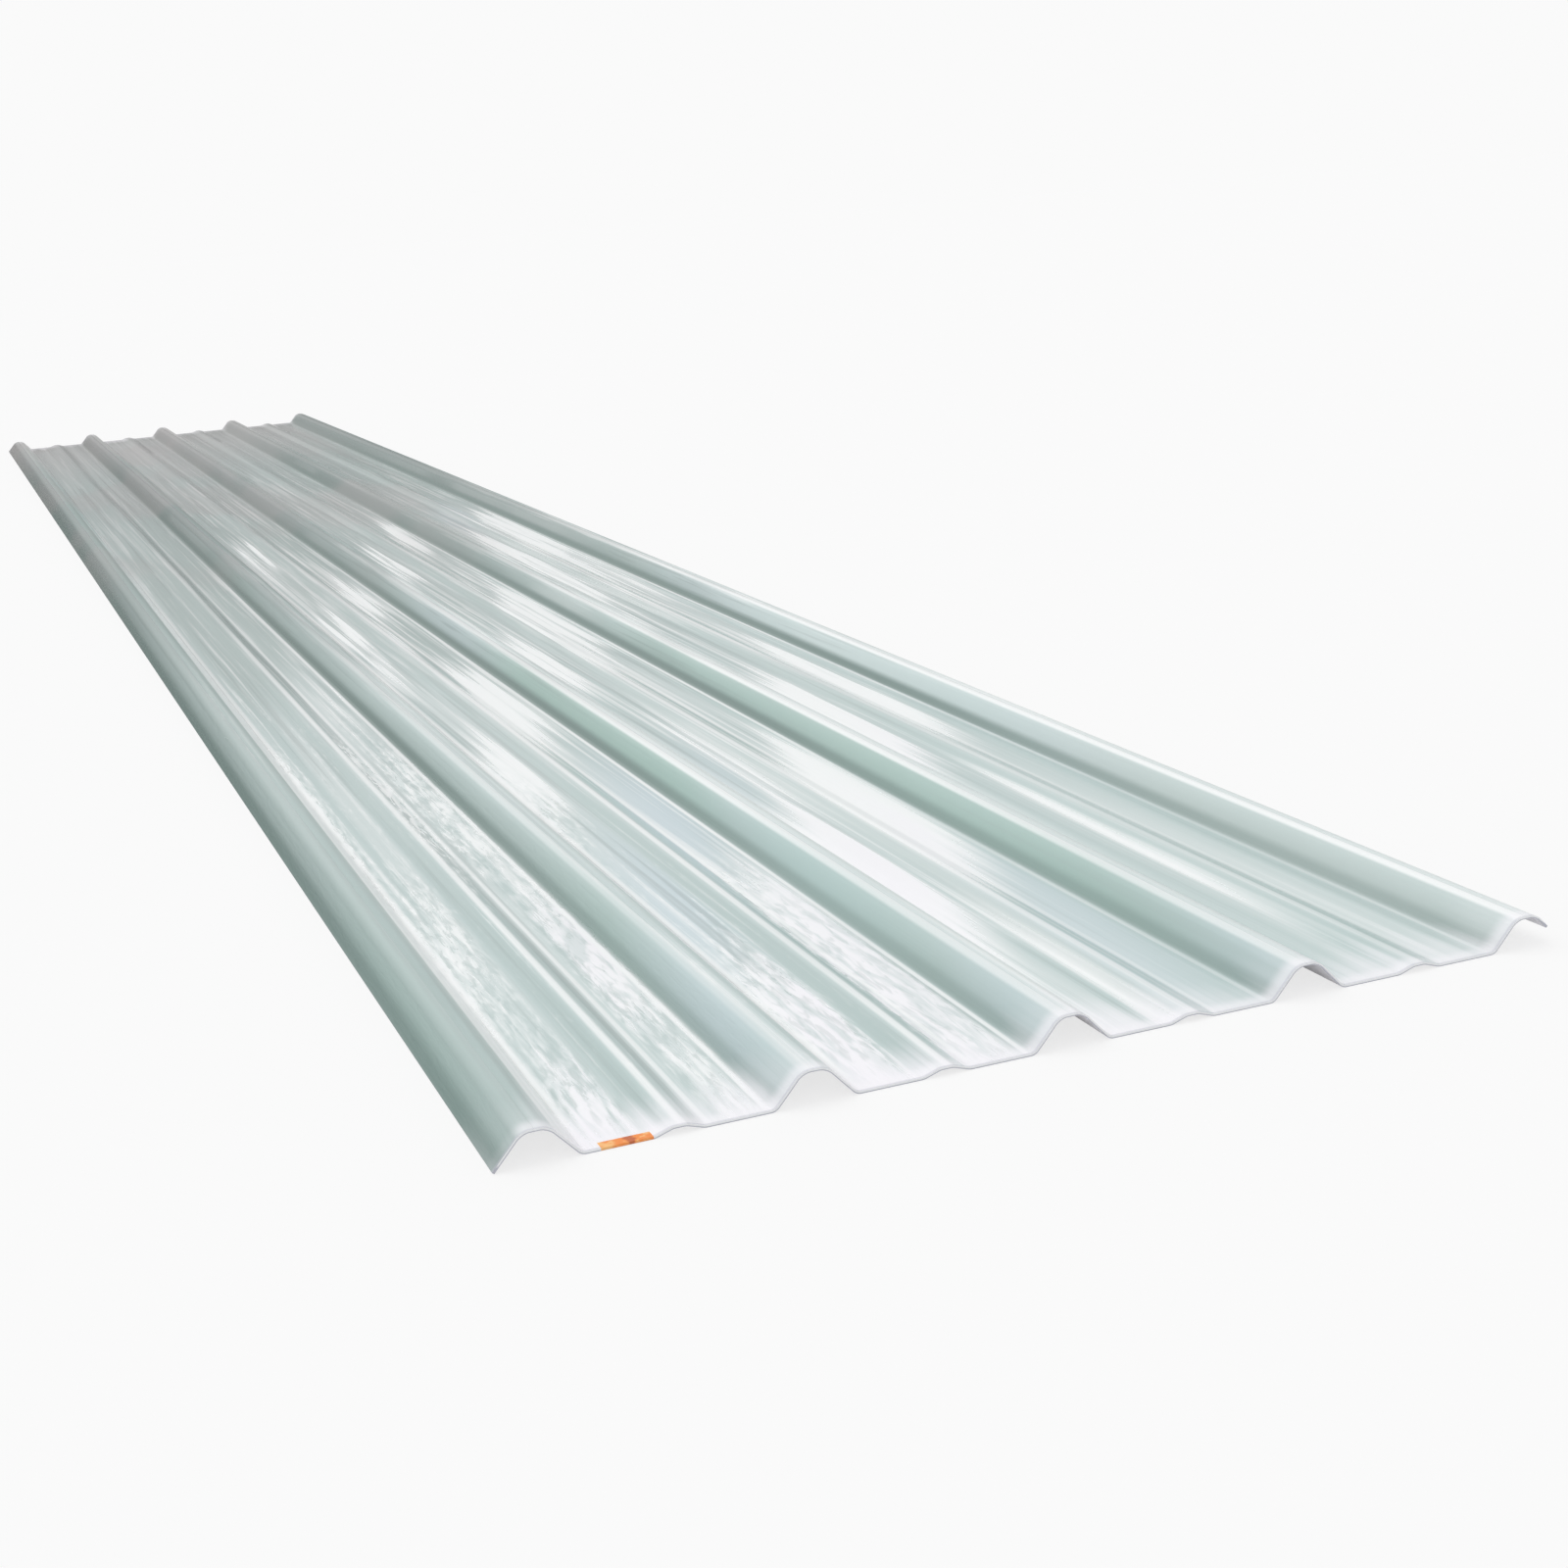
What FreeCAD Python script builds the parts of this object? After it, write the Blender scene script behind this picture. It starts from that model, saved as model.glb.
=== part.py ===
"""Translucent fibreglass roof sheet with five box ribs, lying flat.

The sheet is one moulded piece: a wall of even thickness that runs along Y and is folded across X
into ribs with rounded crests, flat pans between them and a low stiffening swage down each pan.
The left rib ends in a full leg, which laps over the neighbouring sheet. The right rib ends in a
short leg, which goes under the next one. Every fold is a round bend whose two faces share a centre.

Millimetres. +Z is up. The origin is under the middle of the sheet, on the surface that it lies on.
"""

import FreeCAD
import Part

import math
import os

# Sheet
SHEET_LENGTH = 5800.0
WALL_THICKNESS = 2.0

# Ribs, measured between the corners of the wall's middle line
RIB_COUNT = 5
RIB_PITCH = 210.0
RIB_HEIGHT = 25.0
RIB_CREST_WIDTH = 19.0
RIB_FLANK_RUN = 22.5

# Swage along the middle of each pan, measured in the same way
SWAGE_HEIGHT = 4.5
SWAGE_CREST_WIDTH = 10.0
SWAGE_FLANK_RUN = 14.0

# Radii on the inside of each kind of bend
CREST_INSIDE_RADIUS = 14.0
FOOT_INSIDE_RADIUS = 6.0
SWAGE_INSIDE_RADIUS = 10.0

# Length of the right rib's short leg, down the slope from the crest
SHORT_LEG_LENGTH = 16.0

HALF_WALL = WALL_THICKNESS / 2
FLANK_ANGLE = math.atan2(RIB_HEIGHT, RIB_FLANK_RUN)


def raised_fold(centre, height, crest_width, flank_run, crest_radius, foot_radius):
    """Corners (x, z, inside radius) of a fold that stands up from the pans, from left to right."""
    crest = crest_width / 2
    foot = crest + flank_run
    low, high = HALF_WALL, HALF_WALL + height
    return [
        (centre - foot, low, foot_radius),
        (centre - crest, high, crest_radius),
        (centre + crest, high, crest_radius),
        (centre + foot, low, foot_radius),
    ]


def rib(centre):
    """One box rib."""
    return raised_fold(
        centre, RIB_HEIGHT, RIB_CREST_WIDTH, RIB_FLANK_RUN, CREST_INSIDE_RADIUS, FOOT_INSIDE_RADIUS
    )


def swage(centre):
    """The low swage that stiffens one pan."""
    return raised_fold(
        centre, SWAGE_HEIGHT, SWAGE_CREST_WIDTH, SWAGE_FLANK_RUN, SWAGE_INSIDE_RADIUS, SWAGE_INSIDE_RADIUS
    )


def middle_line():
    """The wall's middle line across the sheet, as corners (x, z, inside radius) from left to right."""
    corners = rib(0.0)
    for i in range(1, RIB_COUNT):
        corners += swage((i - 0.5) * RIB_PITCH)
        corners += rib(i * RIB_PITCH)

    # The full leg on the left comes down until its lower edge meets the surface under the pans.
    foot_x, foot_z, _ = corners[0]
    tip_z = HALF_WALL * math.cos(FLANK_ANGLE)
    tip_x = foot_x - (foot_z - tip_z) / math.tan(FLANK_ANGLE)
    corners[0] = (tip_x, tip_z, 0.0)

    # The short leg on the right stops part of the way down the slope.
    crest_x, crest_z, _ = corners[-2]
    tip_x = crest_x + SHORT_LEG_LENGTH * math.cos(FLANK_ANGLE)
    tip_z = crest_z - SHORT_LEG_LENGTH * math.sin(FLANK_ANGLE)
    corners[-1] = (tip_x, tip_z, 0.0)
    return corners


def direction(start, end):
    """Unit vector in the XZ plane from one corner to the next."""
    dx, dz = end[0] - start[0], end[1] - start[1]
    length = math.hypot(dx, dz)
    return dx / length, dz / length


def directions_at(corners, i):
    """Directions of the runs before and after corner i. The two ends have only one."""
    first = max(i - 1, 0)
    last = min(i, len(corners) - 2)
    return direction(*corners[first:first + 2]), direction(*corners[last:last + 2])


def turn_between(before, after):
    """Angle from one direction to the next, positive where the wall turns upwards."""
    cross = before[0] * after[1] - before[1] * after[0]
    along = before[0] * after[0] + before[1] * after[1]
    return math.atan2(cross, along)


def wall_face(corners, offset):
    """The middle line moved square to itself, up for the top face and down for the underside.

    A bend keeps its centre: its radius is the inside radius on one face, and a wall more on the other.
    """
    moved = []
    for i, (x, z, inside_radius) in enumerate(corners):
        before, after = directions_at(corners, i)
        turn = turn_between(before, after)
        normal_x, normal_z = -(before[1] + after[1]), before[0] + after[0]
        reach = offset / math.cos(turn / 2) / math.hypot(normal_x, normal_z)
        radius = inside_radius + HALF_WALL - offset * math.copysign(1.0, turn)
        moved.append((x + normal_x * reach, z + normal_z * reach, radius))
    return moved


def point(x, z):
    """A point of the section, at the sheet's near end."""
    return FreeCAD.Vector(x, -SHEET_LENGTH / 2, z)


def rounded_line(corners):
    """Edges along a list of corners (x, z, radius): straight runs, with a tangent arc at each bend."""
    edges = []
    start = corners[0][:2]
    for i in range(1, len(corners) - 1):
        x, z, radius = corners[i]
        before, after = directions_at(corners, i)
        half_turn = abs(turn_between(before, after)) / 2
        run = radius * math.tan(half_turn)
        inward_x, inward_z = after[0] - before[0], after[1] - before[1]
        sagitta = radius * (1 / math.cos(half_turn) - 1) / math.hypot(inward_x, inward_z)
        arc_start = (x - before[0] * run, z - before[1] * run)
        arc_middle = (x + inward_x * sagitta, z + inward_z * sagitta)
        arc_end = (x + after[0] * run, z + after[1] * run)
        edges.append(Part.LineSegment(point(*start), point(*arc_start)).toShape())
        edges.append(Part.Arc(point(*arc_start), point(*arc_middle), point(*arc_end)).toShape())
        start = arc_end
    edges.append(Part.LineSegment(point(*start), point(*corners[-1][:2])).toShape())
    return edges


def cut_across(start, end):
    """The square cut at the tip of a leg, from one face of the wall to the other."""
    return [Part.LineSegment(point(*start[:2]), point(*end[:2])).toShape()]


def section():
    """The sheet's cut end: both faces of the wall, closed at the tips of the two legs."""
    corners = middle_line()
    top = wall_face(corners, HALF_WALL)
    underside = list(reversed(wall_face(corners, -HALF_WALL)))
    outline = rounded_line(top) + cut_across(top[-1], underside[0])
    outline += rounded_line(underside) + cut_across(underside[-1], top[0])
    return Part.Face(Part.Wire(outline))


def roof_sheet():
    """The whole sheet, centred across its width."""
    sheet = section().extrude(FreeCAD.Vector(0, SHEET_LENGTH, 0))
    sheet.translate(FreeCAD.Vector(-sheet.BoundBox.Center.x, 0, 0))
    return sheet


def main():
    os.makedirs("parts", exist_ok=True)
    sheet = roof_sheet()
    sheet.exportStep("parts/roof_sheet.step")
    print("valid", sheet.isValid(), "solids", len(sheet.Solids), "faces", len(sheet.Faces))
    print("volume in mm3", round(sheet.Volume))
    print("box", sheet.BoundBox)


main()
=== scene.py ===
"""Finish, light and camera for a translucent fibreglass roof sheet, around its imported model.

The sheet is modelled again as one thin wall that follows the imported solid, with the slight waves of a
moulded laminate in its pans, crests and flanks. It carries a small plain sticker on its near edge.

Metres. +Z is up, and the sheet runs along Y.
"""

import math

import bmesh
import bpy
from bpy.props import FloatProperty, FloatVectorProperty, IntProperty, PointerProperty
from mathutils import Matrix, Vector


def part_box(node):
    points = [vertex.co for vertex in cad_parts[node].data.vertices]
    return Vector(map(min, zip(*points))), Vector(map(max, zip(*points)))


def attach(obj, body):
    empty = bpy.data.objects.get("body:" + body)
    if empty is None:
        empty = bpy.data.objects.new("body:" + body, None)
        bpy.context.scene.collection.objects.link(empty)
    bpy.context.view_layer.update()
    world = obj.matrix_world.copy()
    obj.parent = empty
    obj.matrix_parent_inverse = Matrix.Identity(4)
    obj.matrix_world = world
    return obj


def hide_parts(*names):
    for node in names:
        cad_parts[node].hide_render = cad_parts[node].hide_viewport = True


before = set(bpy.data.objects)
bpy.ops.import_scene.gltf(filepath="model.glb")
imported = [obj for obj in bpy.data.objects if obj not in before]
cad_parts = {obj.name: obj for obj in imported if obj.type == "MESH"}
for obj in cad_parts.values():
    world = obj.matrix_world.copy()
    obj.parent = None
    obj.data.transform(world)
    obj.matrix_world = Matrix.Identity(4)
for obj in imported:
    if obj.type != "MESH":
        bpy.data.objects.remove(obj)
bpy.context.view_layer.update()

bl_info = {
    "name": "Fibreglass Roof Sheet",
    "version": (1, 0, 0),
    "blender": (4, 5, 0),
    "location": "View3D > Sidebar > Roof Sheet",
    "description": "Models and finishes a translucent box-rib roof sheet on its packed frame",
    "category": "Add Mesh",
}

SHEET_LOW, SHEET_HIGH = (Vector(corner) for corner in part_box("roof_sheet"))

# The sticker on the near end stays this far inside the frame's box
CLEARANCE = 0.00002


def length_property(name, description, default):
    """A length in metres that a user may change."""
    return FloatProperty(
        name=name, description=description, default=default, min=0.0, precision=4, unit="LENGTH"
    )


def colour_property(name, description, default):
    """A linear colour that a user may change."""
    return FloatVectorProperty(
        name=name, description=description, default=default, size=3, min=0.0, max=1.0, subtype="COLOR"
    )


class SheetSizes(bpy.types.PropertyGroup):
    """The sheet's section, measured along the wall's middle line."""

    wall: length_property("Wall", "Thickness of the laminate", 0.002)
    rib_count: IntProperty(name="Ribs", description="Number of box ribs across the sheet", default=5, min=2)
    rib_pitch: length_property("Rib pitch", "Distance from one rib to the next", 0.210)
    rib_height: length_property("Rib height", "Height of a rib above the pans", 0.025)
    rib_crest: length_property("Rib crest", "Width of a rib's top, between its corners", 0.019)
    rib_flank: length_property("Rib flank", "Width that a rib's sloping side covers", 0.0225)
    swage_height: length_property("Swage height", "Height of the low fold in each pan", 0.0045)
    swage_crest: length_property("Swage crest", "Width of the low fold's flat top", 0.010)
    swage_flank: length_property("Swage flank", "Width that the low fold's side covers", 0.014)
    crest_radius: length_property("Crest radius", "Inside radius of the bends beside a crest", 0.014)
    foot_radius: length_property("Foot radius", "Inside radius of the bends at a rib's foot", 0.006)
    swage_radius: length_property("Swage radius", "Inside radius of the low fold's bends", 0.010)
    short_leg: length_property("Short leg", "Length of the right rib's cut-off leg", 0.016)
    pan_wave: length_property("Pan waves", "Greatest rise of the waves in the pans", 0.0011)
    crest_wave: length_property("Crest waves", "Greatest sag of the waves in the crests", 0.0005)
    flank_wave: length_property("Flank waves", "Depth of the waves in the inner flanks", 0.0006)


class SheetColours(bpy.types.PropertyGroup):
    """Colours of the laminate and its sticker, among them the laminate's painted shade and highlights."""

    resin: colour_property("Resin", "Grey-green tint of the resin", (0.455, 0.575, 0.565))
    # Painted shade low on a rib's left flank; also darkens the green areas and the first crest
    deep_resin_and_shade: colour_property("Deep resin", "Tint low on a rib's flank", (0.34, 0.44, 0.42))
    # Lighter painted shade high on a rib's left flank
    upper_flank_shade: colour_property("Flank resin", "Tint high on a rib's flank", (0.46, 0.57, 0.555))
    shade: colour_property("Shade", "Grey of the ribs towards the far end", (0.165, 0.225, 0.215))
    # Painted shade, a warm grey, towards the far end
    far_end_shade: colour_property("Far grey", "Warm grey towards the far end", (0.58, 0.53, 0.53))
    warm_grey: colour_property("Warm grey", "Grey of broad patches in the far half", (0.46, 0.41, 0.41))
    green_tint: colour_property("Green tint", "Greener tint in places", (0.28, 0.49, 0.41))
    blue_tint: colour_property("Blue tint", "Cooler tint in places", (0.56, 0.67, 0.73))
    # Painted shade in a rib's foot and on the outer leg, and over far-off right ribs
    foot_shade: colour_property("Foot line", "Tint of the thick resin in a rib's foot", (0.12, 0.20, 0.18))
    # Milky white of thick glass strands, also laid as painted highlights and sheen
    glass_and_highlight: colour_property("Glass", "Milky white where the glass strands lie thick", (0.95, 0.97, 0.97))
    # Grey of dark strands, also laid as painted shade further off and on the swages' left flanks
    strand_and_shade: colour_property("Strand", "Grey of single dark strands", (0.33, 0.42, 0.405))
    # Pale lilac of painted light before a sawn end and on the underside, and of painted sheen in places
    lilac: colour_property("Lilac", "Pale lilac in places, and before a sawn end", (0.94, 0.925, 0.97))
    # Pale cut fibres of the sawn ends, with a painted highlight
    cut_edge: colour_property("Cut edge", "White of the sawn ends", (0.92, 0.94, 0.95))
    # Painted shade on the sawn ends' arrises and lower part
    edge_shade: colour_property("Edge line", "Grey of the sawn ends' arrises", (0.52, 0.53, 0.60))
    sticker: colour_property("Sticker", "Orange of the paper sticker", (0.85, 0.24, 0.04))
    sticker_block: colour_property("Sticker block", "Dark block in its middle", (0.42, 0.06, 0.015))
    sticker_faded: colour_property("Faded sticker", "Yellow of its worn ends", (0.92, 0.60, 0.25))


class StageSettings(bpy.types.PropertyGroup):
    """Floor, background, light and camera."""

    floor: colour_property("Floor", "Colour of the floor under the sheet", (0.80, 0.80, 0.80))
    background: FloatProperty(
        name="Background", description="Brightness of the background, where 1 is white",
        default=0.956, min=0.0, max=1.0, subtype="FACTOR",
    )
    room_light: FloatProperty(
        name="Room light", description="Strength of the even light from all round", default=0.79, min=0.0
    )
    lamp_strength: FloatProperty(
        name="Lamp", description="Strength of the soft lamp overhead", default=0.95, min=0.0
    )
    camera_place: FloatVectorProperty(
        name="Camera place", description="Where the camera stands", default=(-0.749, -4.341, 0.655),
        size=3, subtype="TRANSLATION", unit="LENGTH",
    )
    camera_turn: FloatVectorProperty(
        name="Camera turn", description="How the camera is turned",
        default=(math.radians(74.945), math.radians(3.871), math.radians(-21.472)), size=3, subtype="EULER",
    )
    lens: FloatProperty(
        name="Lens", description="Focal length on a 36 mm sensor, in millimetres", default=52.36, min=10.0
    )


# Areas of the laminate as (middle across, half width, near end, far end, strength), in metres, from
# left to right. Where areas of a kind overlap, the strongest counts.
AREAS = {
    # Milky fibre areas, which also carry painted glossy sheen
    "milk_and_sheen": (
        (-0.378, 0.008, -2.24, -1.55, 0.60), (-0.362, 0.027, -2.99, -2.76, 0.95),
        (-0.362, 0.029, -2.62, -2.24, 0.62), (-0.295, 0.010, -2.20, -1.60, 0.80),
        (-0.258, 0.023, -2.20, -1.60, 0.60), (-0.257, 0.020, -2.95, -2.70, 0.66),
        (-0.257, 0.021, -2.74, -2.32, 0.74), (-0.256, 0.020, -1.52, -1.15, 0.50),
        (-0.150, 0.026, -2.99, -2.62, 1.20), (-0.150, 0.025, -2.05, -1.66, 1.00),
        (-0.150, 0.022, -1.32, -0.96, 0.52), (-0.147, 0.020, -0.97, -0.68, 0.90),
        (-0.142, 0.022, -0.15, 0.36, 0.60), (-0.090, 0.008, -1.15, -0.55, 0.62),
        (-0.070, 0.030, -1.10, -0.40, 0.22), (-0.068, 0.026, -1.70, -1.22, 1.00),
        (-0.066, 0.024, -0.72, -0.30, 0.70), (-0.060, 0.025, -2.95, -2.36, 1.15),
        (0.030, 0.010, -0.95, -0.40, 0.56), (0.046, 0.028, -1.48, -1.06, 1.00),
        (0.052, 0.029, -2.66, -2.20, 1.25), (0.060, 0.022, -0.42, 0.10, 0.75),
        (0.087, 0.014, -2.22, -1.62, 0.66), (0.092, 0.009, -3.05, -2.56, 0.95),
        (0.125, 0.010, -0.66, -0.34, 0.60), (0.140, 0.035, -1.26, -0.66, 1.20),
        (0.143, 0.032, -2.46, -1.92, 1.15), (0.146, 0.030, -1.20, -0.10, 0.36),
        (0.156, 0.022, -0.10, 0.38, 0.80), (0.264, 0.028, -2.09, -1.57, 1.20),
        (0.268, 0.034, -0.92, 0.06, 0.85), (0.301, 0.008, -2.74, -2.12, 0.95),
        (0.315, 0.074, -1.02, 0.30, 0.50), (0.335, 0.026, -0.88, -0.28, 0.66),
        (0.347, 0.020, -1.99, -1.34, 0.95), (0.362, 0.026, -0.34, 0.38, 1.00),
    ),
    "blue": (
        (-0.222, 0.014, -2.90, -2.60, 0.90), (-0.150, 0.028, -2.62, -2.22, 0.85),
        (-0.062, 0.030, -2.34, -1.92, 1.00), (-0.012, 0.014, -2.93, -2.80, 0.90),
        (-0.012, 0.014, -2.62, -2.18, 0.50), (-0.012, 0.014, -1.20, -0.70, 0.60),
        (0.055, 0.025, -2.12, -1.88, 0.60), (0.140, 0.034, -2.86, -2.45, 0.60),
        (0.198, 0.014, -2.93, -2.82, 0.80), (0.308, 0.034, 0.10, 0.48, 0.90),
        (0.408, 0.016, -2.20, -0.70, 0.60),
    ),
    "green": (
        (-0.430, 0.016, -2.80, -2.30, 0.35), (-0.305, 0.064, -1.15, 0.62, 0.75),
        (-0.255, 0.040, -0.45, 1.20, 0.55), (-0.222, 0.016, -2.58, -2.30, 0.40),
        (-0.150, 0.030, -0.66, -0.22, 0.55), (-0.150, 0.035, 0.10, 1.20, 0.50),
        (-0.062, 0.035, -1.60, -1.00, 0.45), (-0.062, 0.036, -0.30, 0.75, 0.85),
        (-0.060, 0.038, 0.60, 1.75, 0.50), (-0.058, 0.032, -1.18, -0.62, 0.85),
        (-0.012, 0.014, -2.62, -2.22, 0.80), (-0.012, 0.016, -2.20, -1.20, 0.95),
        (0.052, 0.034, 0.00, 0.90, 0.50), (0.055, 0.024, -0.95, -0.46, 0.60),
        (0.150, 0.038, 0.65, 1.75, 0.55), (0.152, 0.028, -0.55, -0.12, 0.60),
        (0.198, 0.016, -2.68, -1.20, 0.70), (0.200, 0.016, -0.20, 0.30, 0.45),
        (0.262, 0.034, 0.65, 1.75, 0.40), (0.345, 0.040, 0.70, 3.30, 0.80),
        (0.362, 0.034, 0.75, 1.80, 1.20), (0.408, 0.016, -2.05, -1.10, 0.55),
    ),
    # Lilac tints the painted sheen in places towards the near end
    "lilac": (
        (-0.362, 0.028, -2.93, -2.78, 0.90), (-0.257, 0.022, -2.62, -2.34, 0.80),
        (-0.150, 0.030, -2.93, -2.66, 1.00), (-0.060, 0.028, -2.93, -2.40, 0.70),
        (0.052, 0.030, -2.62, -2.28, 0.80), (0.130, 0.028, -2.44, -2.28, 0.80),
        (0.268, 0.028, -2.10, -1.94, 0.60),
    ),
}

# How softly an area ends along the sheet and at its sides, and how much its ends slant
AREA_ENDS = 0.42
AREA_SIDES = 0.013
AREA_SLANT = 3.0

# Points closer than this are the same, and an edge no further than this from a corner belongs to it
SAME_POINT = 1e-6
AT_CORNER = 1e-4

# Segments in each kind of bend
BEND_SEGMENTS = {"crest": 7, "foot": 5, "swage": 3}

# Cuts across the flats, as (shortest run that is cut, number of cuts), and cuts along the sheet
CUTS_ACROSS = ((0.030, 7), (0.010, 1))
CUTS_ALONG = (51, 2)

# Where the waves act: their fade from a rib's foot and from the sheet's ends, how far up they go in
# swage heights, how far below the crests' top they start, and the share of a flank from its middle
FOOT_FADE = 0.022
END_FADE = 0.16
SWAGE_HEIGHTS = 1.2
CREST_BAND = 0.0002
FLANK_SHARE = 0.42

# The sticker: its middle and width across the first pan, its reach along it, the room for its paper,
# the share of that room that the paper fills, its folded part's gap above the wall's lower face, and
# how far its dark block is from its middle
STICKER_CENTRE = -0.3485
STICKER_WIDTH = 0.039
STICKER_REACH = 0.010
STICKER_PAPER = 0.00015
PAPER_FILL = 0.9
STICKER_GAP = 0.0002
BLOCK_SHIFT = 0.003

# The floor: its width, its gap under the sheet, the share of its own shading that the camera sees,
# and the brightness that the light gives it
FLOOR_WIDTH = 60.0
FLOOR_GAP = 0.0001
SHADOW_SHARE = 0.25
FLOOR_LIT = 0.84

# The room as mirrored rays see it: its light at the horizon and what it gains up to a certain height,
# along a curve
HORIZON_LIGHT = 0.10
HORIZON_GAIN = 0.9
HORIZON_HEIGHT = 0.36
HORIZON_CURVE = 0.95

LAMP_SPREAD = math.radians(60)
LAMP_TURN = (math.radians(-15), math.radians(-25), 0.0)
SENSOR_WIDTH = 36.0
VIEW_DISTANCE = 100.0


# Selecting and modelling helpers

def pick(piece):
    """Selects the piece alone, and makes it the active object."""
    bpy.ops.object.select_all(action="DESELECT")
    piece.select_set(True)
    bpy.context.view_layer.objects.active = piece


def laid_plane(name, place, size, turn=(0.0, 0.0, 0.0)):
    """A flat rectangle to start a piece from, with its place, size and turn in its mesh."""
    bpy.ops.object.select_all(action="DESELECT")
    bpy.ops.mesh.primitive_plane_add(size=1.0, location=place, rotation=turn)
    piece = bpy.context.object
    piece.name = name
    piece.data.name = name
    piece.scale = (*size, 1.0)
    bpy.ops.object.transform_apply(location=True, rotation=True, scale=True)
    return piece


def edit():
    """Opens the new piece's mesh for editing its edges, with nothing selected."""
    bpy.ops.object.mode_set(mode="EDIT")
    bpy.context.tool_settings.mesh_select_mode = (False, True, False)
    bpy.ops.mesh.select_all(action="DESELECT")


def leave_edit():
    bpy.ops.object.mode_set(mode="OBJECT")


def select_edges(piece, wanted):
    """Selects the edges whose two ends pass the test, and no others."""
    mesh = bmesh.from_edit_mesh(piece.data)
    bpy.ops.mesh.select_all(action="DESELECT")
    edges = [edge for edge in mesh.edges if wanted(edge.verts[0].co, edge.verts[1].co)]
    if not edges:
        raise RuntimeError(f"{piece.name}: no edge was found to shape")
    for edge in edges:
        edge.select_set(True)
    bmesh.update_edit_mesh(piece.data)


def runs_along(a, b):
    """True for an edge that runs the sheet's length."""
    return abs(a.x - b.x) < SAME_POINT and abs(a.z - b.z) < SAME_POINT


def near_any(point, places):
    """True where a point's x and z are those of one of the places."""
    return any(abs(point.x - x) < AT_CORNER and abs(point.z - z) < AT_CORNER for x, z in places)


def extrude(x, y, z):
    """Extrudes the selected edges by a step."""
    bpy.ops.mesh.extrude_edges_move(TRANSFORM_OT_translate={"value": (x, y, z)})


def modify(piece, name, kind, **settings):
    """Adds a modifier with the given settings, and applies it."""
    modifier = piece.modifiers.new(name, kind)
    for setting, value in settings.items():
        setattr(modifier, setting, value)
    bpy.context.view_layer.objects.active = piece
    bpy.ops.object.modifier_apply(modifier=name)


def smooth(value):
    """0 to 1 with soft ends."""
    value = min(max(value, 0.0), 1.0)
    return value * value * (3 - 2 * value)


# The sheet's section

def raised_fold(centre, low, height, crest, flank, crest_kind, foot_kind):
    """Corners (x, z, kind of bend) of a fold that stands up from the pans."""
    half = crest / 2
    return [
        (centre - half - flank, low, foot_kind),
        (centre - half, low + height, crest_kind),
        (centre + half, low + height, crest_kind),
        (centre + half + flank, low, foot_kind),
    ]


def flank_slope(sizes):
    """The angle of a rib's flank."""
    return math.atan2(sizes.rib_height, sizes.rib_flank)


def full_leg_tip(sizes):
    """The left leg's tip on the middle line: how far it is from the first rib's middle, and its height."""
    half_wall = sizes.wall / 2
    slope = flank_slope(sizes)
    tip_z = half_wall * math.cos(slope)
    return sizes.rib_crest / 2 + sizes.rib_flank + (half_wall - tip_z) / math.tan(slope), tip_z


def first_rib_x(sizes):
    """Where the middle of the first rib is, from the frame's left side."""
    return SHEET_LOW.x + full_leg_tip(sizes)[0] + sizes.wall / 2 * math.sin(flank_slope(sizes))


def section_corners(sizes):
    """The wall's middle line across the sheet, from the full leg to the short leg."""
    low = sizes.wall / 2
    first_rib = first_rib_x(sizes)
    corners = []
    for i in range(sizes.rib_count):
        rib = first_rib + i * sizes.rib_pitch
        if i:
            swage = rib - sizes.rib_pitch / 2
            corners += raised_fold(
                swage, low, sizes.swage_height, sizes.swage_crest, sizes.swage_flank, "swage", "swage"
            )
        corners += raised_fold(
            rib, low, sizes.rib_height, sizes.rib_crest, sizes.rib_flank, "crest", "foot"
        )

    full_leg, tip_z = full_leg_tip(sizes)
    corners[0] = (first_rib - full_leg, tip_z, "tip")
    slope = flank_slope(sizes)
    crest_x, crest_z, _ = corners[-2]
    tip_x = crest_x + sizes.short_leg * math.cos(slope)
    tip_z = crest_z - sizes.short_leg * math.sin(slope)
    corners[-1] = (tip_x, tip_z, "tip")
    return corners


def bend_reach(sizes, kind):
    """How far a bend's arc reaches along each of the two runs that meet at it."""
    if kind == "swage":
        turn = math.atan2(sizes.swage_height, sizes.swage_flank)
        radius = sizes.swage_radius
    else:
        turn = flank_slope(sizes)
        radius = sizes.crest_radius if kind == "crest" else sizes.foot_radius
    return (radius + sizes.wall / 2) * math.tan(turn / 2)


# The sheet's mesh

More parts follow.
